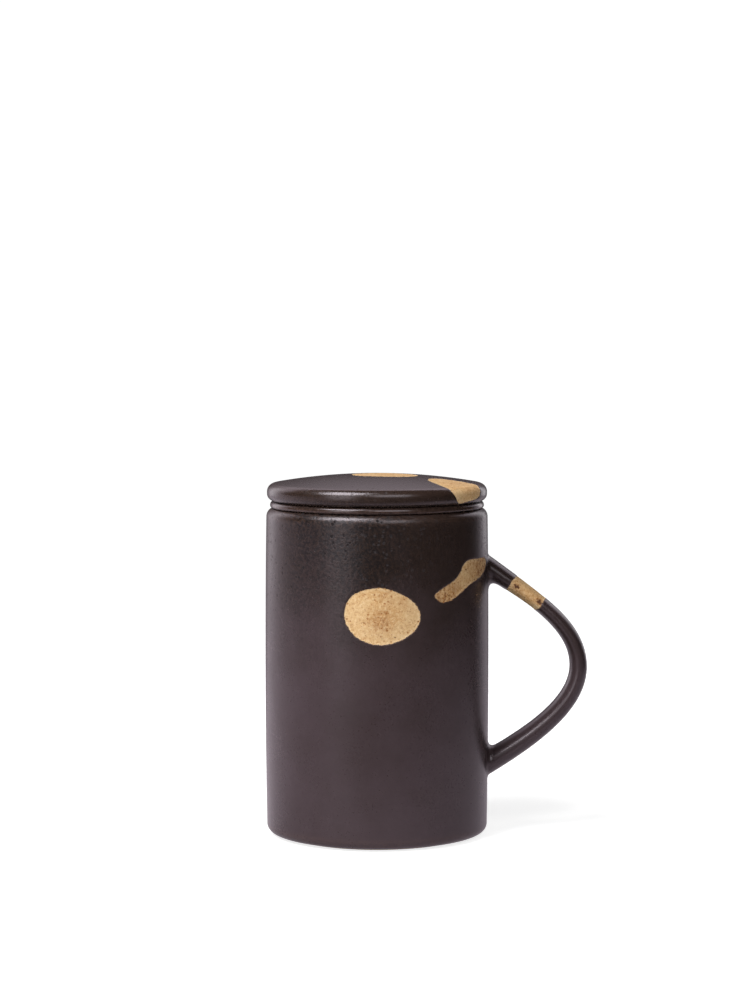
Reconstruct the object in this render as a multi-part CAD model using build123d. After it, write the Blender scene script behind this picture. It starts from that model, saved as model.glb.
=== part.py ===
from build123d import *
from math import cos, radians, sin, sqrt
import os

# Lidded tea mug with a lift-out infuser, in glazed stoneware. Millimetres.
# The origin is the middle of the foot on the table, +Z is up, and the handle
# stands out along +X. The infuser hangs by its flange on the mug's lip, and the
# lid lies on that flange.

# Mug body
mug_height = 118.8  # table to lip
mug_radius = 40.0  # outside, at the lip and at the base
belly_swell = 0.5  # how much wider the mug is halfway up
mug_wall = 4.2
mug_floor = 5.0  # thickness of the floor inside the foot ring
floor_round = 9.0  # inside, where the wall meets the floor
base_round = 2.7  # outside, where the wall meets the base
lip_land = 0.45  # flat top of the lip, which carries the infuser
lip_inner_round = 0.6
foot_radius = 34.4  # outside of the foot ring
foot_width = 3.6
foot_height = 0.9
foot_round = 0.4

# Handle, whose centreline lies in the XZ plane
upper_root_drop = 21.75  # below the lip
lower_root_height = 25.7  # above the table
upper_root_slope = 34.2  # degrees below level, going out
lower_root_slope = 30.5  # degrees above level, going out
handle_reach = 32.65  # wall to centreline at the nose
nose_drop = 0.5  # nose below the middle of the two roots
root_pull = 20.9  # how far the curve keeps its direction at the roots
upper_nose_pull = 14.7  # the same at the nose, towards the upper limb
lower_nose_pull = 13.1  # and towards the lower limb
upper_thickness = 7.3
slim_thickness = 5.85
lower_thickness = 8.2
slim_share = 0.25  # where along the handle it is slimmest
thickness_power = 1.4  # how fast it thickens away from there
middle_width = 11.6  # across, front to back
root_width = 12.8
side_spread = 1.8  # extra in front and behind where the handle meets the wall
open_spread = 0.9  # extra at the wall on the outside of the loop, at its wide angle
upper_tight_spread = 4.4  # and inside the loop, at the sharp angle of the upper root
lower_tight_spread = 2.0
spread_length = 3.4
turn_length = 12.0  # over which the slices turn upright towards the wall
root_overrun = 3.0  # into the wall, before it is trimmed to the wall's surface
middle_slices = 9

# Infuser
basket_clearance = 1.4  # between the basket and the mug's bore
basket_wall = 3.0
basket_depth = 74.0  # below the lip
basket_taper = 3.0  # narrower at the bottom, on the radius
basket_floor = 3.2
basket_outer_round = 8.0
basket_inner_round = 5.0
flange_inset = 1.3  # flange's edge inside the mug's outside
flange_thickness = 2.5
flange_edge_round = 1.2
flange_root_round = 1.0
mouth_round = 1.0
hole_diameter = 2.4
floor_hole_pitch = 6.5
wall_hole_rows = 4
wall_hole_columns = 18
wall_hole_spacing = 8.5
wall_hole_start = 14.0  # lowest row above the basket's underside

# Lid
lid_inset = 0.2  # lid's edge inside the mug's outside
lid_edge_height = 5.8  # underside to the dome's edge, before rounding
dome_rise = 3.7
lid_thickness = 5.0
lid_upper_round = 1.9
lid_lower_round = 2.5
ring_clearance = 1.5  # between the locating ring and the infuser's mouth
ring_depth = 4.0
ring_width = 3.0
ring_round = 1.2
ring_root_round = 0.6
ceiling_round = 2.5

# What follows from them
bore_radius = mug_radius - mug_wall
floor_level = foot_height + mug_floor
basket_radius = bore_radius - basket_clearance
mouth_radius = basket_radius - basket_wall
flange_top = mug_height + flange_thickness
lid_radius = mug_radius - lid_inset
dome_sphere = (lid_radius**2 + dome_rise**2) / (2 * dome_rise)
lid_apex = flange_top + lid_edge_height + dome_rise
ring_radius = mouth_radius - ring_clearance


def wall_radius(height):
    """Outside radius of the mug at a height: a parabola, widest halfway up."""
    share = (height - foot_height) / (mug_height - foot_height)
    return mug_radius + 4 * belly_swell * share * (1 - share)


def turned(outline):
    """A closed outline of radius and height, turned round the Z axis."""
    return revolve(Plane.XZ * make_face(outline), Axis.Z)


def rounded(solid, radius, height, size):
    """A turned solid with one of its circular edges rounded."""
    spot = Vector(radius, 0, height)
    circles = solid.edges().filter_by(lambda edge: edge.is_closed)
    return fillet(circles.sort_by_distance(spot)[0], size)


def within(size, room):
    """A rounding that its wall is thick enough for."""
    return min(size, 0.48 * room)


def mug_block():
    """The mug's outer shape, solid, with the belly swelling between lip and base."""
    middle = (foot_height + mug_height) / 2
    side = Bezier(
        (mug_radius, foot_height), (mug_radius + 2 * belly_swell, middle), (mug_radius, mug_height)
    )
    rest = Polyline(
        (mug_radius, mug_height), (0, mug_height), (0, foot_height), (mug_radius, foot_height)
    )
    return rounded(turned(side + rest), mug_radius, foot_height, base_round)


def foot_ring():
    """Low ring that the mug stands on."""
    inner = foot_radius - foot_width
    ring = turned(
        Polyline(
            (inner, 0), (foot_radius, 0), (foot_radius, foot_height), (inner, foot_height), close=True
        )
    )
    size = within(foot_round, foot_width)
    ring = rounded(ring, foot_radius, 0, size)
    return rounded(ring, inner, 0, size)


def mug_body():
    """Hollow mug: block and foot ring, less the bore, with a rounded lip."""
    bore = turned(
        Polyline(
            (0, floor_level), (bore_radius, floor_level), (bore_radius, mug_height), (0, mug_height),
            close=True,
        )
    )
    bore = rounded(bore, bore_radius, floor_level, floor_round)
    body = mug_block() + foot_ring() - bore
    lip_outer_round = mug_wall - lip_land - lip_inner_round
    body = rounded(body, mug_radius, mug_height, lip_outer_round)
    return rounded(body, bore_radius, mug_height, lip_inner_round)


def handle_path():
    """Centreline: one curve from the upper root to the nose, one on to the lower root."""
    upper = mug_height - upper_root_drop
    lower = lower_root_height
    nose_height = (upper + lower) / 2 - nose_drop
    start = Vector(wall_radius(upper), 0, upper)
    nose = Vector(wall_radius(nose_height) + handle_reach, 0, nose_height)
    end = Vector(wall_radius(lower), 0, lower)
    down = radians(upper_root_slope)
    up = radians(lower_root_slope)
    return Wire([
        Edge.make_bezier(
            start, start + Vector(cos(down), 0, -sin(down)) * root_pull,
            nose + Vector(0, 0, upper_nose_pull), nose,
        ),
        Edge.make_bezier(
            nose, nose - Vector(0, 0, lower_nose_pull),
            end + Vector(cos(up), 0, sin(up)) * root_pull, end,
        ),
    ])


def handle_thickness(share):
    """Thickness seen from the front, slimmest a little below the upper root."""
    if share < slim_share:
        extra, away = upper_thickness - slim_thickness, 1 - share / slim_share
    else:
        extra, away = lower_thickness - slim_thickness, (share - slim_share) / (1 - slim_share)
    return slim_thickness + extra * away**thickness_power


def handle_slice(path, distance):
    """Oval slice at a distance along the path, which may lie before its start or past its end.

    Away from the wall the slice is square to the path. Near the wall it turns
    upright, and it spreads to meet the wall in a rounded root.
    """
    share = min(max(distance / path.length, 0), 1)
    along = path % share
    centre = path @ share + along * (distance - share * path.length)
    upper_half = distance < path.length / 2
    outward = Vector(1 if upper_half else -1, 0, 0)
    from_wall = min(distance, path.length - distance)
    turn = min(max(from_wall / turn_length, 0), 1)
    turn = turn * turn * (3 - 2 * turn)
    normal = (along * turn + outward * (1 - turn)).normalized()
    spread = max(1 - from_wall / spread_length, 0) ** 2
    outside = open_spread * spread
    inside = (upper_tight_spread if upper_half else lower_tight_spread) * spread
    width = middle_width + (root_width - middle_width) * (2 * share - 1) ** 2
    thickness = handle_thickness(share) / normal.dot(along) + outside + inside
    plane = Plane(centre, x_dir=Vector(0, 1, 0), z_dir=normal)
    oval = Ellipse(width / 2 + side_spread * spread, thickness / 2)
    return plane * Pos(0, (outside - inside) / 2) * oval


def mug_handle():
    """Pulled handle, trimmed to the outside of the mug at both ends."""
    path = handle_path()
    near = [-root_overrun, -root_overrun / 2, 0, spread_length / 2, spread_length]
    step = (path.length - 2 * spread_length) / (middle_slices + 1)
    middle = [spread_length + step * number for number in range(1, middle_slices + 1)]
    far = [path.length - distance for distance in reversed(near)]
    slices = [handle_slice(path, distance) for distance in near + middle + far]
    return loft(slices) - mug_block()


def infuser_shell():
    """Tapered basket with a closed floor, hanging from a flange with rounded edges."""
    bottom = mug_height - basket_depth
    floor = bottom + basket_floor
    narrow = basket_radius - basket_taper
    narrow_inside = narrow - basket_wall
    flange_radius = mug_radius - flange_inset
    shell = turned(
        Polyline(
            (0, bottom), (narrow, bottom), (basket_radius, mug_height),
            (flange_radius, mug_height), (flange_radius, flange_top),
            (mouth_radius, flange_top), (narrow_inside, floor), (0, floor),
            close=True,
        )
    )
    edge_round = within(flange_edge_round, flange_thickness)
    for radius, height, size in [
        (narrow, bottom, basket_outer_round),
        (narrow_inside, floor, basket_inner_round),
        (basket_radius, mug_height, flange_root_round),
        (flange_radius, mug_height, edge_round),
        (flange_radius, flange_top, edge_round),
        (mouth_radius, flange_top, mouth_round),
    ]:
        shell = rounded(shell, radius, height, size)
    return shell


def floor_holes():
    """Upright drills in rings round the middle of the basket's floor."""
    flat_radius = basket_radius - basket_taper - basket_wall - basket_inner_round
    rings = int((flat_radius - hole_diameter / 2) / floor_hole_pitch)
    drill = Pos(0, 0, mug_height - basket_depth + basket_floor / 2) * Cylinder(
        hole_diameter / 2, 2 * basket_floor
    )
    holes = [drill]
    for ring in range(1, rings + 1):
        for step in range(6 * ring):
            holes.append(Rot(0, 0, 60 * step / ring) * Pos(ring * floor_hole_pitch, 0, 0) * drill)
    return holes


def wall_holes():
    """Level drills through the lower wall, each row half a step round from the last."""
    middle = basket_radius - basket_taper / 2 - basket_wall / 2
    drill = Rot(0, 90, 0) * Cylinder(hole_diameter / 2, 3 * (basket_wall + basket_taper))
    holes = []
    for row in range(wall_hole_rows):
        height = mug_height - basket_depth + wall_hole_start + row * wall_hole_spacing
        for column in range(wall_hole_columns):
            turn = 360 * (column + row % 2 / 2) / wall_hole_columns
            holes.append(Rot(0, 0, turn) * Pos(middle, 0, height) * drill)
    return holes


def infuser_basket():
    """Ceramic infuser: the flanged basket with its floor and lower wall pierced."""
    return infuser_shell() - floor_holes() - wall_holes()


def lid():
    """Shallow dome with rounded edges and a locating ring under it."""
    shoulder = flange_top + lid_edge_height
    ring_inside = ring_radius - ring_width
    ring_foot = flange_top - ring_depth
    ceiling_edge = lid_apex - dome_sphere + sqrt((dome_sphere - lid_thickness) ** 2 - ring_inside**2)
    dome = TangentArc((0, lid_apex), (lid_radius, shoulder), tangent=(1, 0))
    underside = Polyline(
        (lid_radius, shoulder), (lid_radius, flange_top), (ring_radius, flange_top),
        (ring_radius, ring_foot), (ring_inside, ring_foot), (ring_inside, ceiling_edge),
    )
    ceiling = TangentArc((0, lid_apex - lid_thickness), (ring_inside, ceiling_edge), tangent=(1, 0))
    axis = Line((0, lid_apex - lid_thickness), (0, lid_apex))
    shape = turned(dome + underside + ceiling + axis)
    foot_edge_round = within(ring_round, ring_width)
    for radius, height, size in [
        (lid_radius, shoulder, within(lid_upper_round, lid_edge_height)),
        (lid_radius, flange_top, within(lid_lower_round, lid_edge_height)),
        (ring_radius, flange_top, ring_root_round),
        (ring_radius, ring_foot, foot_edge_round),
        (ring_inside, ring_foot, foot_edge_round),
        (ring_inside, ceiling_edge, ceiling_round),
    ]:
        shape = rounded(shape, radius, height, size)
    return shape


pieces = {
    "mug_body": mug_body,
    "mug_handle": mug_handle,
    "infuser_basket": infuser_basket,
    "lid": lid,
}

os.makedirs("parts", exist_ok=True)
for name, make in pieces.items():
    export_step(make(), f"parts/{name}.step")
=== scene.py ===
import bpy
import numpy as np
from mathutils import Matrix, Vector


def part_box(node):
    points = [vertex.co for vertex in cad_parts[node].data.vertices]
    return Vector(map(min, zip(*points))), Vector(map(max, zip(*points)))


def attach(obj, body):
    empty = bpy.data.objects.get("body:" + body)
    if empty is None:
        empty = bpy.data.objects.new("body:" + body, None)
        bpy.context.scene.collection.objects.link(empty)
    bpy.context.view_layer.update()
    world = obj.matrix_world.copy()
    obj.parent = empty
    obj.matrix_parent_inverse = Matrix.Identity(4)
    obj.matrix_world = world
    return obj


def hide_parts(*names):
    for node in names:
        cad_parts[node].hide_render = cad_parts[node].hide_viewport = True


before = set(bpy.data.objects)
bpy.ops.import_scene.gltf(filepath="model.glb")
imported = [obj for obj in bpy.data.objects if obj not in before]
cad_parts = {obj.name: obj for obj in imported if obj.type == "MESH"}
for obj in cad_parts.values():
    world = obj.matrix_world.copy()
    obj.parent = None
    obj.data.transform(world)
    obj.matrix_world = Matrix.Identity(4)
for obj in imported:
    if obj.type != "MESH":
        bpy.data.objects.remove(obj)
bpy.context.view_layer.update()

# Lidded tea mug with a lift-out infuser: satin dark glaze over tan stoneware, with spots left bare.
# The pieces' dictionaries are in millimetres and degrees, the glaze's places and the studio in metres.

mm = 0.001
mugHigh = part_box("mug_body")[1]
infuserLow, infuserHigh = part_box("infuser_basket")
lidLow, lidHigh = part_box("lid")
far = 6.0  # distance to the glaze's edge, in mm, stored where no edge is near
bareDepth = 0.12  # how far bare clay lies below the glaze
bareSlope = (-0.35, 0.25)  # distances to the glaze's edge between which it steps down
firstTurn, turnSpacing = -120.0, 2.0  # degrees round the axis: where a mesh starts, and its step
outline = {
    "leastRounding": 0.02, "bendSpacing": 0.16, "leastSpacing": 0.08,  # spacing in a bend, of its rounding
    "sharpRounding": 1.2, "sharpReach": 0.9,  # thin glaze fades with an edge's rounding and away from it
}


def smoothStep(low, high, value):
    # 0 below low, 1 above high, and 3t^2 - 2t^3 between them
    t = np.clip((value - low) / (high - low), 0, 1)
    return t * t * (3 - 2 * t)


def gradedPlaces(length, coarse, zones, growth=0.3, samples=6000):
    # Places from 0 to length whose spacing is coarse, or near a zone (start, end, fine) at most
    # fine + growth * distance to the zone. Place k is where the integral of 1 / spacing passes k.
    fine = np.linspace(0, length, samples)
    zones = np.array(zones)
    away = np.maximum(zones[:, :1] - fine, fine - zones[:, 1:2]).clip(0)
    spacing = np.minimum((zones[:, 2:] + growth * away).min(axis=0), coarse)
    passed = np.concatenate([[0], np.cumsum(np.diff(fine) / spacing[:-1])])
    steps = int(np.ceil(passed[-1]))
    return np.interp(np.linspace(0, passed[-1], steps + 1), passed, fine)


def turnedOutline(corners, coarse, zones=(), arcPoints=49):
    # Corners are (radius, height, rounding). Each one becomes an arc that touches both its sides:
    # start = corner - in * rounding * tan(turn / 2), and arc = centre + (start - centre) * e^(i turn t).
    # Gives rows of radius, height, length along the outline, corner number (a corner's arc spans 0.02 of it)
    # and how sharp the nearest outward edge is.
    corners = np.array(corners)
    at = corners[:, 0] + 1j * corners[:, 1]
    way = np.diff(at) / np.abs(np.diff(at))
    turn = np.angle(way[1:] / way[:-1])
    rounding = np.maximum(corners[1:-1, 2], outline["leastRounding"])
    start = at[1:-1] - way[:-1] * rounding * np.tan(np.abs(turn) / 2)
    centre = start + 1j * way[:-1] * rounding * np.sign(turn)
    t = np.linspace(0, 1, arcPoints)
    arcs = centre[:, None] + (start - centre)[:, None] * np.exp(1j * turn[:, None] * t)
    path = np.concatenate([at[:1], arcs.ravel(), at[-1:]])
    number = np.arange(1, len(at) - 1)[:, None] + 0.02 * (t - 0.5)
    number = np.concatenate([[0], number.ravel(), [len(at) - 1]])
    length = np.concatenate([[0], np.cumsum(np.abs(np.diff(path)))])
    first, last = length[1:-1].reshape(arcs.shape)[:, [0, -1]].T
    spacing = np.maximum(rounding * outline["bendSpacing"], outline["leastSpacing"])
    bends = np.stack([first, last, spacing], axis=1)
    rows = gradedPlaces(length[-1], coarse, [*bends, *zones])
    away = np.maximum(first[:, None] - rows, rows - last[:, None]).clip(0)
    sharp = ((turn > 0) / (1 + rounding / outline["sharpRounding"]))[:, None]
    sharp = sharp * np.exp(-((away / outline["sharpReach"]) ** 2))
    return {
        "radius": np.interp(rows, length, path.real),
        "height": np.interp(rows, length, path.imag),
        "length": rows,
        "corner": np.interp(rows, length, number),
        "sharp": sharp.max(axis=0),
    }


def turnedPoints(radius, height, turns):
    # x = radius sin(turn), y = -radius cos(turn), z = height; turn 0 faces -Y and grows towards +X
    turns = np.radians(turns) + 0 * radius
    return np.stack([radius * np.sin(turns), -radius * np.cos(turns), height + 0 * turns], axis=-1)


def unit(vectors):
    # Each vector divided by its length
    return vectors / np.linalg.norm(vectors, axis=-1, keepdims=True)


def closedCurve(points, perSpan=14):
    # Smooth closed curve through the points: between p1 and p2 it is the Catmull-Rom cubic
    # (2p1 + (p2 - p0)t + (2p0 - 5p1 + 4p2 - p3)t^2 + (3p1 - p0 - 3p2 + p3)t^3) / 2
    p1 = np.array(points, float)[:, None]
    p0, p2, p3 = np.roll(p1, 1, 0), np.roll(p1, -1, 0), np.roll(p1, -2, 0)
    t = np.linspace(0, 1, perSpan, endpoint=False)[None, :, None]
    curve = 2 * p1 + (p2 - p0) * t + (2 * p0 - 5 * p1 + 4 * p2 - p3) * t**2
    return ((curve + (3 * p1 - p0 - 3 * p2 + p3) * t**3) / 2).reshape(-1, 2)


def edgeDistance(across, up, points):
    # Distance to a closed curve, negative inside it: the least distance to its short straight
    # pieces, and inside where a level ray crosses the curve an odd number of times
    curve = closedCurve(points)
    answer = np.full(across.shape, far)
    low, high = curve.min(axis=0) - far, curve.max(axis=0) + far
    near = (across > low[0]) & (across < high[0]) & (up > low[1]) & (up < high[1])
    spot = np.stack([across[near], up[near]], axis=-1)[:, None]
    start, end = curve, np.roll(curve, -1, 0)
    run = end - start
    share = np.clip(((spot - start) * run).sum(-1) / (run**2).sum(-1), 0, 1)
    distance = np.linalg.norm(spot - start - share[..., None] * run, axis=-1).min(axis=1)
    crosses = (start[:, 1] > spot[..., 1]) != (end[:, 1] > spot[..., 1])
    rise = np.where(run[:, 1] == 0, 1, run[:, 1])
    where = start[:, 0] + (spot[..., 1] - start[:, 1]) / rise * run[:, 0]
    inside = (crosses & (where > spot[..., 0])).sum(axis=1) % 2 == 1
    answer[near] = np.minimum(np.where(inside, -distance, distance), far)
    return answer


def blot(across, up, spots):
    # Soft round marks (across, up, size, strength): strength * e^(-(distance / size)^2), the strongest kept
    spots = np.array(spots)
    away = (across[..., None] - spots[:, 0]) ** 2 + (up[..., None] - spots[:, 1]) ** 2
    return (spots[:, 3] * np.exp(-away / spots[:, 2] ** 2)).max(axis=-1)


def addObject(name, data):
    # An object with that data, in the scene
    made = bpy.data.objects.new(name, data)
    bpy.context.scene.collection.objects.link(made)
    return made


def skinMesh(name, points, faces, values):
    # A smooth mesh in metres from points in millimetres, with the values stored at its points
    mesh = bpy.data.meshes.new(name)
    mesh.from_pydata((points * mm).tolist(), [], faces)
    for key, value in values.items():
        mesh.attributes.new(key, "FLOAT", "POINT").data.foreach_set("value", value.astype(np.float32))
    mesh.shade_smooth()
    mesh.validate()
    triangles = sum(len(face.vertices) - 2 for face in mesh.polygons)
    print(f"{name}: {len(mesh.polygons)} faces, {triangles} triangles")
    return addObject(name, mesh)


def gridIndex(points):
    # The number of each point of a grid
    return np.arange(points[..., 0].size).reshape(points.shape[:2])


def gridQuads(index):
    # Quads between each row of a grid of point numbers and the next, closed round the columns
    right = np.roll(index, -1, axis=1)
    return np.stack([index[:-1], right[:-1], right[1:], index[1:]], axis=-1)


def closedSkin(name, rings, poles, values):
    # Rings of points joined by quads, with a fan of triangles at each pole. Faces point outwards where the
    # rings go anticlockwise seen from the last ring's side. A pole takes its ring's mean value.
    columns = rings.shape[1]
    index = gridIndex(rings)
    ends = np.full((2, columns), index.size) + [[0], [1]]
    startFan = np.stack([ends[0], np.roll(index[0], -1), index[0]], axis=-1)
    endFan = np.stack([index[-1], np.roll(index[-1], -1), ends[1]], axis=-1)
    points = np.concatenate([rings.reshape(-1, 3), np.array(poles)])
    faces = gridQuads(index).reshape(-1, 4).tolist() + startFan.tolist() + endFan.tolist()
    stored = {
        key: np.concatenate([value.ravel(), [value[0].mean(), value[-1].mean()]])
        for key, value in values.items()
    }
    return skinMesh(name, points, faces, stored)


def turnedSkin(name, rows, rings, poles, edge, toastAndShade):
    # The skin of a turned outline, whose first and last rows lie on the axis and give way to the poles
    values = {"glazeEdge": edge, "toastAndShade": toastAndShade, "sharpEdge": rows["sharp"][:, None] + 0 * edge}
    return closedSkin(name, rings[1:-1], poles, {key: value[1:-1] for key, value in values.items()})


def placedTurns(look, radius):
    # Degrees round the axis: turnSpacing apart, and patchSpacing millimetres apart where bare spots are
    fine = np.degrees(look["patchSpacing"] / radius)
    close = [(low - firstTurn, high - firstTurn, fine) for low, high in look["closeTurns"]]
    return firstTurn + gradedPlaces(360, turnSpacing, close)[:-1]


def bareHollow(edge):
    # How far a point lies below the glaze: bareDepth * (1 - smoothStep of its distance to the edge)
    return bareDepth * (1 - smoothStep(*bareSlope, edge))


# The camera looks along +Y: millimetres in front of the axis, above the foot and aside, degrees down
view = {"distance": 989.0, "height": 192.12, "aside": -0.72, "tilt": 4.094, "lens": 98.6}

cameraData = bpy.data.cameras.new("camera")
cameraData.lens = view["lens"]
cameraData.clip_start, cameraData.clip_end = 0.05, 30
camera = addObject("camera", cameraData)
camera.location = (view["aside"] * mm, -view["distance"] * mm, view["height"] * mm)
camera.rotation_euler = (np.radians(90 - view["tilt"]), 0, 0)
bpy.context.scene.camera = camera


mug = {
    "bellySwell": 0.5, "wall": 4.2, "floorHeight": 5.9, "floorRound": 9.0, "baseRound": 2.7,
    "lipOuterRound": 3.15, "lipInnerRound": 0.6,
    "footRadius": 34.4, "footWidth": 3.6, "footHeight": 0.9, "footRound": 0.4, "footRootRound": 0.3,
    "patchSpacing": 0.56, "spacing": 2.2, "bareFootHeight": 0.75,
    # edges of the bare clay: (distance round the wall from the side facing -Y, height)
    "frontSpot": [
        (0.0, 93.5), (6.9, 91.9), (13.1, 88.1), (15.5, 83.0), (13.0, 77.9), (6.5, 74.4),
        (-0.4, 73.6), (-7.2, 76.2), (-11.1, 81.2), (-11.2, 86.7), (-8.0, 91.2),
    ],
    "dab": [
        (21.2, 90.2), (24.6, 92.6), (29.9, 95.1), (33.0, 97.7), (34.3, 99.9), (36.6, 101.4), (40.4, 101.8),
        (45.0, 101.7), (51.0, 101.5), (53.4, 100.0), (52.6, 98.2), (49.4, 96.2), (44.2, 94.6), (37.6, 92.7),
        (32.3, 90.0), (27.8, 88.0), (23.6, 87.9),
    ],
    "backSpot": [
        (139.5, 56.2), (146.4, 54.6), (151.8, 50.0), (152.4, 44.8), (147.6, 40.2), (140.2, 38.6),
        (133.2, 41.0), (129.4, 46.2), (132.2, 52.8),
    ],
    "closeHeights": [(36, 59), (71, 105)], "closeTurns": [(-21, 81), (181, 218)],  # where the mesh is fine
    # toast and painted shade in them: (round, height, size, strength)
    "toastAndShade": [
        (1.6, 81.6, 4.4, 1.1), (3.0, 84.4, 1.8, 1.1), (4.0, 90.6, 4.0, 0.45), (139.5, 47.0, 5.0, 0.9),
        # the two broad ones over the dab are partly painted shade, for its side turned from the light
        (48.0, 98.5, 10.0, 1.35), (26.0, 90.0, 8.0, 1.3), (9.0, 88.0, 4.0, 0.35),
    ],
}
mugHeight = mugHigh.z / mm
mugRadius = mugHigh.x / mm - mug["bellySwell"]


def wallRadius(height):
    # Parabola, widest halfway up: radius + 4 * swell * t * (1 - t), t the share of the height
    t = np.clip((height - mug["footHeight"]) / (mugHeight - mug["footHeight"]), 0, 1)
    return mugRadius + 4 * mug["bellySwell"] * t * (1 - t)


def buildMug():
    # The outline turned round Z; the belly's parabola is added to the outside, and bare clay lies a little
    # lower. A place on the outside wall is about mugRadius + its height along the outline.
    foot, base, bore = mug["footRadius"], mug["footHeight"], mugRadius - mug["wall"]
    inner = foot - mug["footWidth"]
    corners = [
        (0, base, 0), (inner, base, mug["footRootRound"]), (inner, 0, mug["footRound"]),
        (foot, 0, mug["footRound"]), (foot, base, mug["footRootRound"]), (mugRadius, base, mug["baseRound"]),
        (mugRadius, mugHeight, mug["lipOuterRound"]), (bore, mugHeight, mug["lipInnerRound"]),
        (bore, mug["floorHeight"], mug["floorRound"]), (0, mug["floorHeight"], 0),
    ]
    close = [(mugRadius + low, mugRadius + high, mug["patchSpacing"]) for low, high in mug["closeHeights"]]
    rows = turnedOutline(corners, mug["spacing"], close)
    wallStart, wallEnd = 4.5, 6.5  # corner numbers: the outside wall has corners 5 and 6
    outside = ((rows["corner"] > wallStart) & (rows["corner"] < wallEnd))[:, None]
    turns = placedTurns(mug, mugRadius)
    radius = rows["radius"][:, None] + np.where(outside, wallRadius(rows["height"])[:, None] - mugRadius, 0)
    across = np.radians(turns) * radius
    up = rows["height"][:, None] + 0 * across
    edge = np.min([edgeDistance(across, up, mug[spot]) for spot in ("frontSpot", "dab", "backSpot")], axis=0)
    underneath = np.where(rows["corner"] < wallStart, rows["height"] - mug["bareFootHeight"], far)[:, None]
    edge = np.minimum(np.where(outside, edge, far), underneath)
    # toasting, and painted shade over the dab
    toastAndShade = blot(across, up, mug["toastAndShade"]) * outside
    rings = turnedPoints(radius - bareHollow(edge) * outside, rows["height"][:, None], turns)
    return turnedSkin("mug_wall", rows, rings, [(0, 0, base), (0, 0, mug["floorHeight"])], edge, toastAndShade)


handle = {
    "upperRootDrop": 21.75, "lowerRootHeight": 25.7, "upperSlope": 34.2, "lowerSlope": 30.5,
    "reach": 32.65, "noseDrop": 0.5, "rootPull": 20.9, "upperNosePull": 14.7, "lowerNosePull": 13.1,
    "upperThickness": 7.3, "slimThickness": 5.85, "lowerThickness": 8.2, "slimShare": 0.25,
    "thicknessPower": 1.4, "middleWidth": 11.6, "rootWidth": 12.8,
    # the roots' rounding outside the loop, at its sides and inside it
    "upperRounds": (2.0, 2.2, 2.75), "lowerRounds": (1.9, 2.2, 2.4),
    # the stretch searched for the wall at a root, the steps ahead (mm) and round (radians) that give the
    # handle's direction there, and how far the last ring sinks into the wall and back
    "search": (-9, 16), "searchSteps": 501, "stepAhead": 0.3, "stepRound": 0.02,
    "sink": 0.5, "sinkBack": 0.4,
    "columns": 80, "flareRings": 9, "spacing": 1.3, "rootSpacing": 0.5, "bandSpacing": 0.35,
    # the band of bare clay, margins where the mesh is fine, and its ends' waves (mm, number round, shift)
    "bandStart": 10.0, "bandEnd": 22.9, "bandMargins": (5, 2), "bandWaves": [(0.35, 1, 0.6), (0.22, 3, 2)],
    # toast and painted shade on the band: (distance along the handle, degrees round its section, mm size,
    # strength)
    # the small strong ones at the band's ends are toasting; the two broad ones over its middle are partly
    # painted shade
    "toastAndShade": [(11.6, 276, 1.7, 3.2), (22.0, 284, 1.7, 2.6), (13.5, 262, 2.2, 0.9), (19.5, 278, 3.0, 0.7)],
    "sectionRadius": 4.6,  # turns degrees round the section into mm for them
}


def handlePath(distance, samples=600):
    # Two Bezier curves b(t) = sum of (1-t)^3 p0 + 3(1-t)^2 t p1 + 3(1-t) t^2 p2 + t^3 p3 in the XZ plane,
    # upper root to nose to lower root, read by the distance along them; beyond the ends it goes on straight
    upper = mugHeight - handle["upperRootDrop"]
    lower = handle["lowerRootHeight"]
    noseHeight = (upper + lower) / 2 - handle["noseDrop"]
    first = wallRadius(upper) + 1j * upper
    nose = wallRadius(noseHeight) + handle["reach"] + 1j * noseHeight
    last = wallRadius(lower) + 1j * lower
    pull = handle["rootPull"]
    upperPull = pull * np.exp(-1j * np.radians(handle["upperSlope"]))
    lowerPull = pull * np.exp(1j * np.radians(handle["lowerSlope"]))
    upperLimb = np.array([first, first + upperPull, nose + 1j * handle["upperNosePull"], nose])
    lowerLimb = np.array([nose, nose - 1j * handle["lowerNosePull"], last + lowerPull, last])
    t = np.linspace(0, 1, samples)
    weights = np.stack([(1 - t) ** 3, 3 * (1 - t) ** 2 * t, 3 * (1 - t) * t**2, t**3])
    curve = np.concatenate([upperLimb @ weights, (lowerLimb @ weights)[1:]])
    along = np.concatenate([[0], np.cumsum(np.abs(np.diff(curve)))])
    inside = np.clip(distance, 0, along[-1])
    where = np.interp(inside, along, curve)
    heading = np.interp(inside, (along[1:] + along[:-1]) / 2, np.unwrap(np.angle(np.diff(curve))))
    return where + (distance - inside) * np.exp(1j * heading), heading, along[-1]


def handleSkin(distance, around):
    # Ellipse square to the path: centre + out * thickness / 2 * cos(around) + Y * width / 2 * sin(around),
    # out being the path's heading turned a quarter towards the outside of the loop
    centre, heading, whole = handlePath(distance)
    share = np.clip(distance / whole, 0, 1)
    slim = handle["slimShare"]

    def thicker(end, nearness):
        # what the thickness gains towards one end
        return (handle[end] - handle["slimThickness"]) * np.clip(nearness, 0, 1) ** handle["thicknessPower"]

    thickness = handle["slimThickness"] + thicker("upperThickness", 1 - share / slim)
    thickness = thickness + thicker("lowerThickness", (share - slim) / (1 - slim))
    width = handle["middleWidth"] + (handle["rootWidth"] - handle["middleWidth"]) * (2 * share - 1) ** 2
    out = np.exp(1j * (heading + np.pi / 2))
    place = centre + out * thickness / 2 * np.cos(around)
    return np.stack([place.real, width / 2 * np.sin(around), place.imag], axis=-1)


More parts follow.
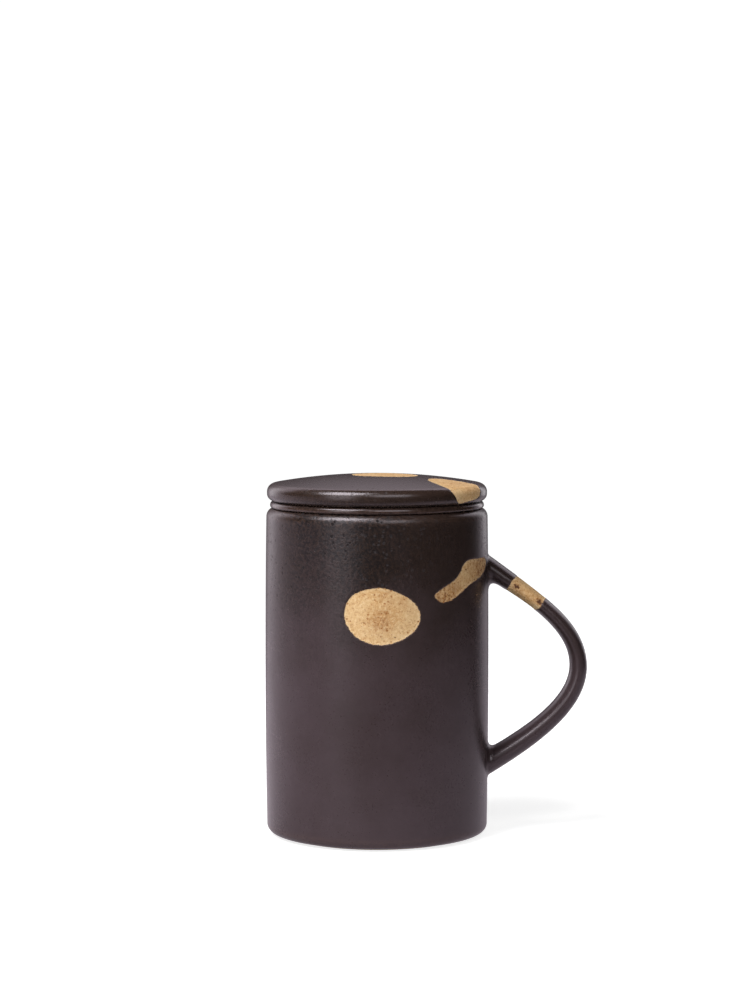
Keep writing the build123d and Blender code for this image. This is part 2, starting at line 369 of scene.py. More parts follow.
def handleRoot(around, fromEnd, rounds, whole):
    # Where each line along the handle meets the wall, and a curve that rounds the corner there:
    # (1-t)^2 a + 2(1-t)t q + t^2 b, a on the handle and b on the wall, each rounding / tan(angle / 2) from q
    sign, base = (-1, whole) if fromEnd else (1, 0)

    def skinAt(distance, turn=0.0):
        # points of the handle's skin at a distance from its end, turned round its section
        return handleSkin(base + sign * distance, around + turn)

    steps = np.linspace(*handle["search"], handle["searchSteps"])
    points = skinAt(steps[:, None] + 0 * around)
    gap = np.hypot(points[..., 0], points[..., 1]) - wallRadius(points[..., 2])
    last = len(steps) - 1 - np.argmax(gap[::-1] <= 0, axis=0)
    columns = np.arange(len(around))
    share = -gap[last, columns] / (gap[last + 1, columns] - gap[last, columns])
    hit = steps[last] + share * (steps[1] - steps[0])
    corner = skinAt(hit)
    ahead = unit(skinAt(hit + handle["stepAhead"]) - corner)
    side = unit(skinAt(hit, handle["stepRound"]) - skinAt(hit, -handle["stepRound"]))
    normal = np.cross(ahead, side) * sign
    wall = unit(corner * [1, 1, 0])
    flat = unit(normal - (normal * wall).sum(-1, keepdims=True) * wall)
    angle = np.arccos(np.clip((ahead * flat).sum(-1), -1, 1))
    outer, sides, inner = rounds
    rounding = sides + np.where(np.cos(around) > 0, outer - sides, inner - sides) * np.cos(around) ** 2
    reach = rounding / np.tan(angle / 2)
    end = corner + flat * reach[:, None]
    end[:, :2] *= (wallRadius(end[:, 2]) / np.hypot(end[:, 0], end[:, 1]))[:, None]
    t = np.linspace(0, 1, handle["flareRings"] + 1)[1:, None, None]
    flare = (1 - t) ** 2 * skinAt(hit + reach) + 2 * (1 - t) * t * corner + t**2 * end
    buried = end - unit(end * [1, 1, 0]) * handle["sink"] - flat * handle["sinkBack"]
    return base + sign * (hit + reach), np.concatenate([flare, buried[None]])


def buildHandle():
    # Rings along the handle between its two rounded roots, which sink into the wall and close there
    around = np.linspace(0, 2 * np.pi, handle["columns"], endpoint=False)
    whole = handlePath(np.zeros(1))[2]
    upperStart, upperRoot = handleRoot(around, False, handle["upperRounds"], whole)
    lowerStart, lowerRoot = handleRoot(around, True, handle["lowerRounds"], whole)
    bandStart, bandEnd = handle["bandStart"], handle["bandEnd"]
    before, after = handle["bandMargins"]
    shares = gradedPlaces(whole, handle["spacing"], [
        (0, 0, handle["rootSpacing"]), (whole, whole, handle["rootSpacing"]),
        (bandStart - before, bandEnd + after, handle["bandSpacing"]),
    ])[:, None] / whole
    distance = upperStart * (1 - shares) + lowerStart * shares
    wave = sum(size * np.sin(count * around + shift) for size, count, shift in handle["bandWaves"])
    band = np.maximum(bandStart + wave - distance, distance - bandEnd - wave[::-1])
    section = handle["sectionRadius"]
    marks = [(place, np.radians(turn) * section, *mark) for place, turn, *mark in handle["toastAndShade"]]
    # toasting, and painted shade over the band's middle
    toastAndShade = blot(distance, around * section + 0 * distance, marks)
    middle = handleSkin(distance, around + 0 * distance)
    across = unit(middle - handleSkin(distance, around + np.pi + 0 * distance))
    middle -= across * bareHollow(band)[..., None]
    rings = np.concatenate([upperRoot[::-1], middle, lowerRoot])
    between = slice(len(upperRoot), -len(lowerRoot))
    edge, marked = np.full(rings.shape[:2], far), np.zeros(rings.shape[:2])
    edge[between], marked[between] = np.minimum(band, far), toastAndShade
    ends = [rings[end].mean(axis=0) - [1, 0, 0] for end in (0, -1)]  # 1 mm further into the wall
    return closedSkin("mug_loop_handle", rings[:, ::-1], ends, {
        "glazeEdge": edge[:, ::-1], "toastAndShade": marked[:, ::-1], "sharpEdge": 0 * edge,
    })


infuser = {
    "wall": 3.0, "floorThickness": 3.2, "clearance": 1.4, "taper": 3.0, "outerRound": 8.0, "innerRound": 5.0,
    "flangeUnderRound": 0.85, "flangeTopRound": 1.55, "flangeRootRound": 1.0, "mouthRound": 1.0,
    "spacing": 2.0, "columns": 288, "halfRows": 3,
    # the bare ring under the flange, and how the distance to its edge grows with the height off the seat
    "seatRadius": 35.6, "seatWidth": 1.4, "seatSlope": 6, "seatOffset": 0.6,
    # the holes' radius and rounding, how sharp their rims are, and half the square cut for one, in radii
    "holeRadius": 1.2, "holeRound": 0.3, "rimSharp": 0.7, "holeSquare": 1.2,
    "ringPitch": 6.5, "floorRings": 3,  # ring n of the floor's holes has 6n
    "firstRow": 14.0, "rowPitch": 8.5, "wallRows": 4, "wallHoles": 18,
}


def roundHoles(rings, row, count, turn, halfAcross):
    # Moves the points round each hole of one ring from the grid's squares to circles. With q the larger of
    # |across| / halfAcross and |along| / halfRows, in grid steps from the hole's middle, a point goes to
    # middle + holeRadius * q * its direction up to q = 1 and stays in place from q = 2 on, eased between.
    # Gives the columns of cells to leave out, as a mask, and the holes' middle columns.
    columns, halfRows = rings.shape[1], infuser["halfRows"]
    step = columns // count
    first = round(turn / 360 * columns) % step
    across = (np.arange(columns) - first + step // 2) % step - step // 2
    along = np.arange(-2 * halfRows, 2 * halfRows + 1)[:, None]
    home = (np.arange(columns) - across) % columns
    side = unit(rings[row, (home + 1) % columns] - rings[row, home - 1])
    ahead = unit(rings[row + 1, home] - rings[row - 1, home])
    u, v = np.broadcast_arrays(across / halfAcross, along / halfRows)
    q = np.maximum(np.abs(u), np.abs(v))[..., None]
    way = np.stack([u, v], axis=-1) / np.maximum(np.hypot(u, v), 0.01)[..., None]
    circle = rings[row, home] + infuser["holeRadius"] * q * (way[..., :1] * side + way[..., 1:] * ahead)
    share = smoothStep(1, 2, q)
    band = slice(row - 2 * halfRows, row + 2 * halfRows + 1)
    rings[band] = circle * (1 - share) + rings[band] * share
    return np.abs(across + 0.5) < halfAcross, first + step * np.arange(count)


def holeRim(halfAcross, halfRows):
    # Steps (across, along) round the square of cells that is left out, anticlockwise from its lower left
    a, b = halfAcross, halfRows
    across = np.concatenate([np.arange(-a, a), np.full(2 * b, a), np.arange(a, -a, -1), np.full(2 * b, -a)])
    along = np.concatenate([np.full(2 * a, -b), np.arange(-b, b), np.full(2 * a, b), np.arange(b, -b, -1)])
    return across, along


def infuserOutline():
    # Stretches of (radius, height, sharp) from the middle hole's lower rim out under the floor, up the wall,
    # over the flange, down inside and back to the middle hole, with even rows where holes are. Gives the
    # rows and the pairs (outer, inner) of them on which each ring of holes has its middles.
    bottom, top = infuserLow.z / mm, infuserHigh.z / mm
    wide = mugRadius - mug["wall"] - infuser["clearance"]
    narrow, mouth, flange = wide - infuser["taper"], wide - infuser["wall"], infuserHigh.x / mm
    floor, within = bottom + infuser["floorThickness"], narrow - infuser["wall"]
    half = 2 * infuser["halfRows"]
    cell = infuser["ringPitch"] / (2 * half)
    hole, reach = infuser["holeRadius"], infuser["ringPitch"] * (infuser["floorRings"] + 0.5)
    rimRows, firstCell = 2, 4  # the middle hole's rim, and cells from the axis where even rows start
    steps = np.arange(firstCell, round(reach / cell) + 1) * cell
    disc = np.concatenate([[hole, hole + infuser["holeRound"]], steps])
    low = bottom + infuser["firstRow"] - infuser["rowPitch"] / 2
    band = low + np.arange(2 * half * infuser["wallRows"] + 1) * infuser["rowPitch"] / (2 * half)

    def even(radius, height):
        # rows with no sharp edge near them
        return np.stack([radius, height + 0 * radius, 0 * radius], axis=-1)

    def outer(height):
        # a cone from the bottom's radius to the top's, and so is inner
        return narrow + (wide - narrow) * (height - bottom) / (mugHeight - bottom)

    def inner(height):
        return within + (mouth - within) * (height - floor) / (top - floor)

    def stretch(corners):
        # the rows of a turned outline without its two ends
        made = turnedOutline(corners, infuser["spacing"])
        return np.stack([made["radius"], made["height"], made["sharp"]], axis=-1)[1:-1]

    high = band[-1]
    under, inside = even(disc, bottom), even(disc, floor)[::-1]
    under[0, 1], inside[-1, 1] = bottom + infuser["holeRound"], floor - infuser["holeRound"]
    rows = [
        under,
        stretch([(reach, bottom, 0), (narrow, bottom, infuser["outerRound"]), (outer(low), low, 0)]),
        even(outer(band), band),
        stretch([
            (outer(high), high, 0), (wide, mugHeight, infuser["flangeRootRound"]),
            (flange, mugHeight, infuser["flangeUnderRound"]), (flange, top, infuser["flangeTopRound"]),
            (mouth, top, infuser["mouthRound"]), (inner(high), high, 0),
        ]),
        even(inner(band), band)[::-1],
        stretch([(inner(low), low, 0), (within, floor, infuser["innerRound"]), (reach, floor, 0)]),
        inside,
    ]
    starts = np.cumsum([0] + [len(part) for part in rows])
    wallMiddles = half + 2 * half * np.arange(infuser["wallRows"])
    ringMiddles = rimRows + 2 * half * np.arange(1, infuser["floorRings"] + 1) - firstCell
    pairs = {
        "wall": (starts[2] + wallMiddles, starts[5] - 1 - wallMiddles),
        "floor": (starts[0] + ringMiddles, starts[7] - 1 - ringMiddles),
    }
    return np.concatenate(rows), pairs


def buildInfuser():
    # The outline turned round Z, its last row closed to its first through the middle hole. Every other hole
    # is left out of both skins and lined with quads between its two rims, which round over into the hole.
    rows, pairs = infuserOutline()
    columns, halfRows = infuser["columns"], infuser["halfRows"]
    turns = np.arange(columns) * 360 / columns
    rings = turnedPoints(rows[:, :1], rows[:, 1:2], turns)
    index = gridIndex(rings)
    keep = np.ones((len(rows), columns), bool)
    floorRings = range(1, infuser["floorRings"] + 1)
    holes = [(6 * ring, 90, *pair) for ring, *pair in zip(floorRings, *pairs["floor"])]
    holes += [
        (infuser["wallHoles"], 90 + 180 / infuser["wallHoles"] * (row % 2), *pair)
        for row, *pair in zip(range(infuser["wallRows"]), *pairs["wall"])
    ]
    outerRims, innerRims = [], []
    for count, turn, outerRow, innerRow in holes:
        width = 2 * np.pi * rows[outerRow, 0] / columns
        halfAcross = max(halfRows, round(infuser["holeSquare"] * infuser["holeRadius"] / width))
        across, along = holeRim(halfAcross, halfRows)
        for row, way, rims in ((outerRow, 1, outerRims), (innerRow, -1, innerRims)):
            cut, middles = roundHoles(rings, row, count, turn, halfAcross)
            keep[row - halfRows:row + halfRows, cut] = False
            rims.append(index[row + way * along, (middles[:, None] + across) % columns])
    points = rings.reshape(-1, 3)
    sharp = rows[:, 2:] + 0 * turns
    quads = [gridQuads(np.concatenate([index, index[:1]]))[keep]]
    for outer, inner in zip(outerRims, innerRims):
        sink = unit(points[inner] - points[outer]) * infuser["holeRound"]
        points[outer] += sink
        points[inner] -= sink
        sharp.ravel()[np.concatenate([outer.ravel(), inner.ravel()])] = infuser["rimSharp"]
        lining = np.stack([outer, np.roll(outer, -1, 1), np.roll(inner, -1, 1), inner], axis=-1)
        quads.append(lining.reshape(-1, 4))
    used, faces = np.unique(np.concatenate(quads), return_inverse=True)
    inSeat = np.abs(rows[:, 0] - infuser["seatRadius"]) - infuser["seatWidth"] / 2
    offSeat = infuser["seatSlope"] * np.abs(rows[:, 1] - mugHeight) - infuser["seatOffset"]
    edge = np.maximum(inSeat, offSeat)[:, None].clip(-far, far) + 0 * turns
    return skinMesh("infuser_cup", points[used], faces.reshape(-1, 4).tolist(), {
        "glazeEdge": edge.ravel()[used], "toastAndShade": 0 * edge.ravel()[used], "sharpEdge": sharp.ravel()[used],
    })


lid = {
    "edgeHeight": 5.8, "domeRise": 3.7, "thickness": 5.0, "upperRound": 2.4, "lowerRound": 2.5,
    "ringRadius": 29.9, "ringWidth": 3.0, "ringRound": 1.2, "ringRootRound": 0.6, "ceilingRound": 2.5,
    "spacing": 2.0, "patchSpacing": 0.45, "closeTurns": [(38, 80)],
    # edges of the bare clay on the lid laid flat from its middle: (towards +X, towards +Y)
    "topSpot": [
        (3.0, -10.6), (10.4, -8.8), (14.4, -3.2), (13.4, 4.2), (6.4, 8.6), (-2.0, 8.2), (-8.2, 3.0),
        (-8.5, -3.6), (-4.4, -8.4),
    ],
    "edgeSpot": [
        (18.2, -14.6), (19.2, -9.8), (22.4, -7.0), (26.4, -6.9), (31.0, -8.3), (34.4, -10.2), (36.7, -14.0),
        (38.6, -16.9), (38.0, -20.0), (36.7, -23.1), (35.3, -25.6), (34.2, -27.9), (32.9, -29.5),
        (30.6, -30.1), (28.6, -29.8), (26.0, -29.2), (24.2, -27.4), (22.4, -24.4), (20.0, -20.0),
    ],
    "toastAndShade": [
        (34.5, -27.5, 3.0, 0.25), (37.2, -19.5, 2.6, 0.15), (28.0, -15.0, 8.0, 0.75), (3.0, -1.0, 9.0, 0.35),
    ],
}


def domeLift(radius):
    # Height of a sphere's cap over its rim: sqrt(sphere^2 - radius^2) - (sphere - rise)
    rim, rise = lidHigh.x / mm, lid["domeRise"]
    sphere = (rim**2 + rise**2) / (2 * rise)
    return np.sqrt(sphere**2 - radius**2) - (sphere - rise)


def buildLid():
    # The outline turned round Z, from the middle of the ceiling out round the ring and the rim to the top's
    # middle. The dome's cap is added to the top and the ceiling, and bare clay lies a little lower.
    rim, apex, foot = lidHigh.x / mm, lidHigh.z / mm, lidLow.z / mm
    shoulder = apex - lid["domeRise"]
    seat, ceiling = shoulder - lid["edgeHeight"], shoulder - lid["thickness"]
    ring, inside = lid["ringRadius"], lid["ringRadius"] - lid["ringWidth"]
    sideStart = rim + 2 * (seat - foot)
    corners = [
        (0, ceiling, 0), (inside, ceiling, lid["ceilingRound"]), (inside, foot, lid["ringRound"]),
        (ring, foot, lid["ringRound"]), (ring, seat, lid["ringRootRound"]), (rim, seat, lid["lowerRound"]),
        (rim, shoulder, lid["upperRound"]), (0, shoulder, 0),
    ]
    close = [(sideStart, sideStart + lid["edgeHeight"] + rim, lid["patchSpacing"])]
    rows = turnedOutline(corners, lid["spacing"], close)
    corner = rows["corner"][:, None]
    cap = np.interp(rows["corner"], [0, 1, 2, 5, 6, 7], [1, 1, 0, 0, 1, 1])
    radius, height = rows["radius"], rows["height"] + cap * domeLift(rows["radius"])
    turns = placedTurns(lid, rim)
    flat = (rows["length"][-1] - rows["length"])[:, None]
    across, ahead = flat * np.sin(np.radians(turns)), -flat * np.cos(np.radians(turns))
    spots = np.min([edgeDistance(across, ahead, lid[spot]) for spot in ("topSpot", "edgeSpot")], axis=0)
    topStart, seatStart, seatEnd = 4.6, 2.3, 4.45  # corner numbers of the glazed top and the bare seat
    seatSlope, seatMost = 10, 0.5  # mm of distance inside the seat's edge for each corner number, up to this
    top = corner > topStart
    inSeat = np.minimum(corner - seatStart, seatEnd - corner)
    edge = np.where(inSeat > 0, -seatSlope * inSeat.clip(0, seatMost), np.where(top, spots, far))
    out = unit(np.stack([np.gradient(height), -np.gradient(radius)], axis=-1))[:, None]
    sunk = out * (bareHollow(spots) * top)[..., None]
    rings = turnedPoints(radius[:, None] - sunk[..., 0], height[:, None] - sunk[..., 1], turns)
    toastAndShade = blot(across, ahead, lid["toastAndShade"]) * top
    return turnedSkin("lid_dome", rows, rings, [(0, 0, height[0]), rings[-1, 0]], edge, toastAndShade)


mugWall, loopHandle, infuserCup, lidDome = buildMug(), buildHandle(), buildInfuser(), buildLid()


def feed(socket, value):
    # Links the value where it is a socket itself, and sets it where it isn't
    if isinstance(value, bpy.types.NodeSocket):
        socket.id_data.links.new(value, socket)
    else:
        socket.default_value = value


def newNode(tree, kind, settings=(), **inputs):
    # A shader node with its settings, and its inputs by their names without spaces
    made = tree.nodes.new("ShaderNode" + kind)
    for key, value in dict(settings).items():
        setattr(made, key, value)
    for socket in made.inputs:
        value = inputs.get(socket.name.replace(" ", ""))
        if value is not None and socket.enabled:
            feed(socket, value)
    return made


def inOrder(kind, *values, **settings):
    # The first output of a node with its settings, and its inputs in their order
    tree = next(value.id_data for value in values if isinstance(value, bpy.types.NodeSocket))
    made = newNode(tree, kind, settings)
    for socket, value in zip(made.inputs, values):
        feed(socket, value)
    return made.outputs[0]


def maths(operation, *values):
    # The operation done on the values
    return inOrder("Math", *values, operation=operation)


def times(first, second):
    # first * second
    return maths("MULTIPLY", first, second)


def timesPlus(first, second, third):
    # first * second + third
    return maths("MULTIPLY_ADD", first, second, third)


def ramp(value, low, high, start=0.0, end=1.0, smooth=True):
    # start below low, end above high, eased between them
    kind = {"interpolation_type": "SMOOTHSTEP" if smooth else "LINEAR"}
    made = newNode(value.id_data, "MapRange", kind)
    keys = ("Value", "From Min", "From Max", "To Min", "To Max")
    for key, given in zip(keys, (value, low, high, start, end)):
        feed(made.inputs[key], given)
    return made.outputs["Result"]


def blend(share, first, second, kind="RGBA"):
    # first where share is 0, second where it is 1
    made = newNode(share.id_data, "Mix", {"data_type": kind}, Factor=share, A=first, B=second)
    return next(socket for socket in made.outputs if socket.enabled)


def layered(colour, *layers):
    # The colour under layers of (share, tint), each laid over those before it
    for share, tint in layers:
        colour = blend(share, colour, tint)
    return colour


def newGroup(name, inputs, *outputs):
    # A node group with coordinates, inputs by name and value and outputs by name
    tree = bpy.data.node_groups.new(name, "ShaderNodeTree")

    def add(label, way, kind):
        # one socket of the group
        return tree.interface.new_socket(name=label, in_out=way, socket_type="NodeSocket" + kind)

    add("Coordinates", "INPUT", "Vector")
    for label, value in inputs.items():
        add(label, "INPUT", "Color" if isinstance(value, tuple) else "Float").default_value = value
    for label in outputs:
        add(label, "OUTPUT", "Color" if label == "Colour" else "Float")
    given, result = tree.nodes.new("NodeGroupInput").outputs, tree.nodes.new("NodeGroupOutput").inputs
    return tree, given, result, given["Coordinates"]


def endGroup(result, **values):
    # Links what the group gives out, and gives its tree
    for label, value in values.items():
        feed(result[label], value)
    return value.id_data


def useGroup(group, where, **inputs):
    # The outputs of a group at those coordinates
    return newNode(where.id_data, "Group", {"node_tree": group}, Coordinates=where, **inputs).outputs


def noise(where, size, detail=2.0, roughness=0.5):
    # Noise whose features are about size millimetres across
    look = {"Scale": 1000 / size, "Detail": detail, "Roughness": roughness}
    return newNode(where.id_data, "TexNoise", Vector=where, **look).outputs["Fac"]


def speckleGroup():
    # Round specks, one to a cell at most: a cell has one where its random number is under the share,
    # and the speck covers what is nearer to the cell's point than its own random radius
    inputs = {"Cells per Metre": 800.0, "Share": 0.4, "Radius": 0.35}
    tree, given, result, where = newGroup("specks", inputs, "Mask")
    scale = given["Cells per Metre"]
    cells = newNode(tree, "TexVoronoi", Vector=where, Scale=scale, Randomness=1.0).outputs
    random = newNode(tree, "SeparateColor", Color=cells["Color"]).outputs
    radius = times(given["Radius"], ramp(random["Green"], 0, 1, 0.35, 1.0, False))
    speck = ramp(cells["Distance"], times(radius, 0.55), radius, 1.0, 0.0)
    chosen = maths("LESS_THAN", random["Red"], given["Share"])
    return endGroup(result, Mask=times(speck, chosen))


def speckMask(specks, where, cells, share, radius):
    # 1 in the specks and 0 between them
    return useGroup(specks, where, CellsperMetre=cells, Share=share, Radius=radius)["Mask"]


def glazeEdgeGroup():
    # Bare where the distance to the glaze's edge plus a fine wobble is under zero; the rim is the strip just
    # inside that edge, thin is the glaze just outside it, and the height steps up by 1 from clay to glaze
    inputs = {"Edge Distance": far, "wobble": 0.35}
    tree, given, result, where = newGroup("glaze edge", inputs, "Bare", "Rim", "Thin", "Height")
    grain = maths("SUBTRACT", noise(where, 0.9, 4, 0.7), 0.5)
    moved = timesPlus(grain, times(given["wobble"], 3.0), given["Edge Distance"])
    return endGroup(
        result, Bare=ramp(moved, -0.12, 0.12, 1.0, 0.0), Rim=ramp(moved, -1.6, -0.1),
        Thin=ramp(moved, 0.05, 0.65, 1.0, 0.0), Height=ramp(moved, -0.25, 0.35),
    )


clay = {
    "tan": (0.54, 0.325, 0.137, 1), "cream": (0.67, 0.485, 0.270, 1), "toast": (0.26, 0.096, 0.018, 1),
    "speck": (0.060, 0.021, 0.007, 1), "textureHeight": 0.09,
    # feature sizes in mm, and how strongly they show
    "cloudSize": 6.0, "grainSize": 0.9, "toastSize": 1.3, "clouds": 0.45, "paler": 0.8, "darker": 0.5,
    "toastShow": 0.42, "speckHeight": -0.35,
    # specks: (cells per metre, share of the cells, radius of a cell), and how strongly they show
    "fine": (1400.0, 0.5, 0.45), "fineShow": 0.55, "black": (640.0, 0.14, 0.28), "blackShow": 0.85,
    # the brown ones' share goes down in the clouds and up with the toasting and the painted shade
    "brownCells": 850.0, "brownShare": (0.5, 0.2), "brownToasted": 0.3, "brownRadius": 0.4, "brownShow": 0.8,
}


def bareClayGroup(specks):
    # Fired clay without glaze: cloudy tan, cream grog and a creamy rim, crowds of fine brown specks with
    #     # some larger dark ones, and darker blotches where toasted and where shade is painted
    inputs = {"Rim": 0.0, "Toasted": 0.0}
    tree, given, result, where = newGroup("bare clay", inputs, "Colour", "Roughness", "Height")
    clouds = ramp(noise(where, clay["cloudSize"], 3), 0.35, 0.68)
    grain = noise(where, clay["grainSize"], 4, 0.75)
    paler = times(ramp(grain, 0.5, 0.64), clay["paler"])
    rimPaler = times(given["Rim"], ramp(grain, 0.4, 0.56, 0.15, 0.8))
    darker = times(ramp(grain, 0.47, 0.33), clay["darker"])
    # toasting and painted shade, broken up by noise
    toast = times(given["Toasted"], ramp(noise(where, clay["toastSize"], 4, 0.75), 0.36, 0.62, 0.3, 1.5))
    crowd = timesPlus(given["Toasted"], clay["brownToasted"], ramp(clouds, 0, 1, *clay["brownShare"]))
    fine = speckMask(specks, where, *clay["fine"])
    brown = speckMask(specks, where, clay["brownCells"], crowd, clay["brownRadius"])
    black = speckMask(specks, where, *clay["black"])
    colour = layered(
        clay["tan"], (times(clouds, clay["clouds"]), clay["cream"]),
        (maths("MAXIMUM", paler, rimPaler), clay["cream"]),
        (timesPlus(toast, clay["toastShow"], darker), clay["toast"]),
        (times(fine, clay["fineShow"]), clay["toast"]),
        (times(brown, clay["brownShow"]), clay["toast"]),
        (times(black, clay["blackShow"]), clay["speck"]),
        (ramp(toast, 1.2, 2.4, 0.0, 0.9), clay["speck"]),
    )
    return endGroup(
        result, Colour=colour, Roughness=ramp(grain, 0.3, 0.7, 0.92, 0.75),
        Height=timesPlus(maths("MAXIMUM", brown, black), clay["speckHeight"], grain),
    )


glaze = {
    "deep": (0.0225, 0.0134, 0.0102, 1), "cloud": (0.0450, 0.0302, 0.0332, 1),
    "pit": (0.006, 0.004, 0.0035, 1), "sheen": (1, 0.92, 1, 1), "edgeHeight": 0.10, "textureHeight": 0.030,
    # feature sizes in mm
    "softSize": 24.0, "cloudSize": 15.0, "fineSize": 1.0, "blotchSize": 2.8, "unevenSize": 13.0,
    "peelSize": 2.1,
    # metres up between which the upper glaze, darker there as painted shade, sets in, how far clouds move
    # that, and the mottling below it
    "upper": (0.055, 0.112), "upperSway": 0.07, "lowerMottling": 0.06,
    # metres along X between which the pits come in and thin out again, with their strengths there
    "pitsFrom": (-0.036, -0.024, 0.3, 1.0), "pitsTo": (-0.010, 0.022, 1.6, 0.4),
    # pits and dust: (cells per metre, share of the cells, radius of a cell), and how strongly they show
    "pits": (680.0, 0.62, 0.5), "shadeShow": 0.7, "dust": (1100.0, 0.12, 0.32), "dustShow": 0.18,
    "unevenRoughness": 0.10, "fineRoughness": -0.18, "pitRoughness": 0.6, "pitHeight": -1.2,
    "fineHeight": (2.2, 0.12),  # what the mottling adds to it, and what it has everywhere
}


def satinGlazeGroup(specks):
    # Satin glaze: two dark browns in soft clouds, darker at the top as painted shade, warmer where it
    #     # runs thin over an edge, with fine dark pits that crowd in a broad stripe a little towards -X and
    #     thin out
    #     # from the top down, pale dust and the ripple of an orange's peel
    inputs = {"Thin": 0.0, "thinColour": glaze["deep"], "gloss": 0.4, "mottling": 1.0, "paintedShadeTop": 0.0}
    tree, given, result, where = newGroup("satin glaze", inputs, "Colour", "Roughness", "Height")
    place = newNode(tree, "SeparateXYZ", Vector=where).outputs
    soft = maths("SUBTRACT", noise(where, glaze["softSize"], 3, 0.5), 0.5)
    upper = ramp(timesPlus(soft, glaze["upperSway"], place["Z"]), *glaze["upper"])
    clouds = ramp(noise(where, glaze["cloudSize"], 4, 0.55), 0.3, 0.7, 0.72, 1.0)
    # painted shade: the top turns to the deep brown, so the glaze lower down shows lighter
    clouds = timesPlus(times(upper, given["paintedShadeTop"]), -1.0, clouds)
    fine = noise(where, glaze["fineSize"], 3, 0.7)
    blotches = ramp(noise(where, glaze["blotchSize"], 3, 0.7), 0.42, 0.6)
    low = glaze["lowerMottling"]
    mottling = times(given["mottling"], timesPlus(upper, 1 - low, low))
    pitted = times(*(ramp(place["X"], *glaze[side]) for side in ("pitsFrom", "pitsTo")))
    mottling = times(mottling, pitted)
    dark = times(speckMask(specks, where, *glaze["pits"]), ramp(blotches, 0, 1, 0.4, 1.0))
    dark, shade = times(dark, mottling), times(ramp(fine, 0.58, 0.42), glaze["shadeShow"])
    shade = times(shade, mottling)
    pale = times(speckMask(specks, where, *glaze["dust"]), mottling)
    colour = layered(
        glaze["deep"], (maths("MAXIMUM", clouds, 0.0), glaze["cloud"]),
        (times(given["Thin"], ramp(fine, 0.35, 0.6, 0.35, 1.0)), given["thinColour"]),
        (maths("MAXIMUM", dark, shade), glaze["pit"]),
        (times(pale, glaze["dustShow"]), given["thinColour"]),
    )
    uneven = maths("SUBTRACT", noise(where, glaze["unevenSize"], 3), 0.5)
    rough = timesPlus(uneven, glaze["unevenRoughness"], given["gloss"])
    rough = timesPlus(maths("SUBTRACT", fine, 0.5), glaze["fineRoughness"], rough)
    peel = noise(where, glaze["peelSize"], 2, 0.5)
    bumps = timesPlus(fine, timesPlus(mottling, *glaze["fineHeight"]), peel)
    return endGroup(
        result, Colour=colour, Roughness=timesPlus(dark, glaze["pitRoughness"], rough),
        Height=timesPlus(dark, glaze["pitHeight"], bumps),
    )


speckTree = speckleGroup()
edgeTree, clayTree, glazeTree = glazeEdgeGroup(), bareClayGroup(speckTree), satinGlazeGroup(speckTree)

# each finish's top share is painted shade: how far the top turns to the deep brown
mugFinish = {
    "thinColour": (0.075, 0.045, 0.036, 1), "gloss": 0.30, "mottling": 1.0, "paintedShadeTop": 0.9, "wobble": 0.4,
}
handleFinish = {**mugFinish, "mottling": 0.5, "wobble": 0.35}
infuserFinish = {**mugFinish, "gloss": 0.20, "mottling": 0.25}
lidFinish = {
    "thinColour": (0.044, 0.027, 0.022, 1), "gloss": 0.25, "mottling": 0.25, "paintedShadeTop": 1.0, "wobble": 0.3,
}


def emptyTree(owner):
    # The node tree of a material or world, cleared
    owner.use_nodes = True
    owner.node_tree.nodes.clear()
    return owner.node_tree


def ceramicMaterial(name, finish):
    # Glaze and bare clay laid out by the mesh's stored distance to the glaze's edge
    material = bpy.data.materials.new(name)
    tree = emptyTree(material)
    where = newNode(tree, "TexCoord").outputs["Object"]
    # the stored toast value also carries painted shade
    distance, toastAndShade, sharp = (
        newNode(tree, "Attribute", {"attribute_name": key}).outputs["Fac"]
        for key in ("glazeEdge", "toastAndShade", "sharpEdge")
    )
    edge = useGroup(edgeTree, where, EdgeDistance=distance, **finish)
    bare = useGroup(clayTree, where, Rim=edge["Rim"], Toasted=toastAndShade)
    glazed = useGroup(glazeTree, where, Thin=maths("MAXIMUM", sharp, edge["Thin"]), **finish)
    glazedHeight = times(glazed["Height"], glaze["textureHeight"])
    bareHeight = times(bare["Height"], clay["textureHeight"])
    texture = blend(edge["Bare"], glazedHeight, bareHeight, "FLOAT")
    height = timesPlus(edge["Height"], glaze["edgeHeight"], texture)
    shader = newNode(
        tree, "BsdfPrincipled", IOR=1.5, SpecularTint=glaze["sheen"],
        BaseColor=blend(edge["Bare"], glazed["Colour"], bare["Colour"]),
        Roughness=blend(edge["Bare"], glazed["Roughness"], bare["Roughness"], "FLOAT"),
        Normal=newNode(tree, "Bump", Strength=1.0, Distance=mm, Height=height).outputs["Normal"],
    )
    newNode(tree, "OutputMaterial", Surface=shader.outputs["BSDF"])
    return material


pieces = [
    (mugWall, "mug", "mug_body", "mugGlaze", mugFinish),
    (loopHandle, "mug", "mug_handle", "handleGlaze", handleFinish),
    (infuserCup, "infuser", "infuser_basket", "infuserGlaze", infuserFinish),
    (lidDome, "lid", "lid", "lidGlaze", lidFinish),
]
for piece, body, node, materialName, finish in pieces:
    piece.data.materials.append(ceramicMaterial(materialName, finish))
    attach(piece, body)
    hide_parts(node)
print("finishes laid on")


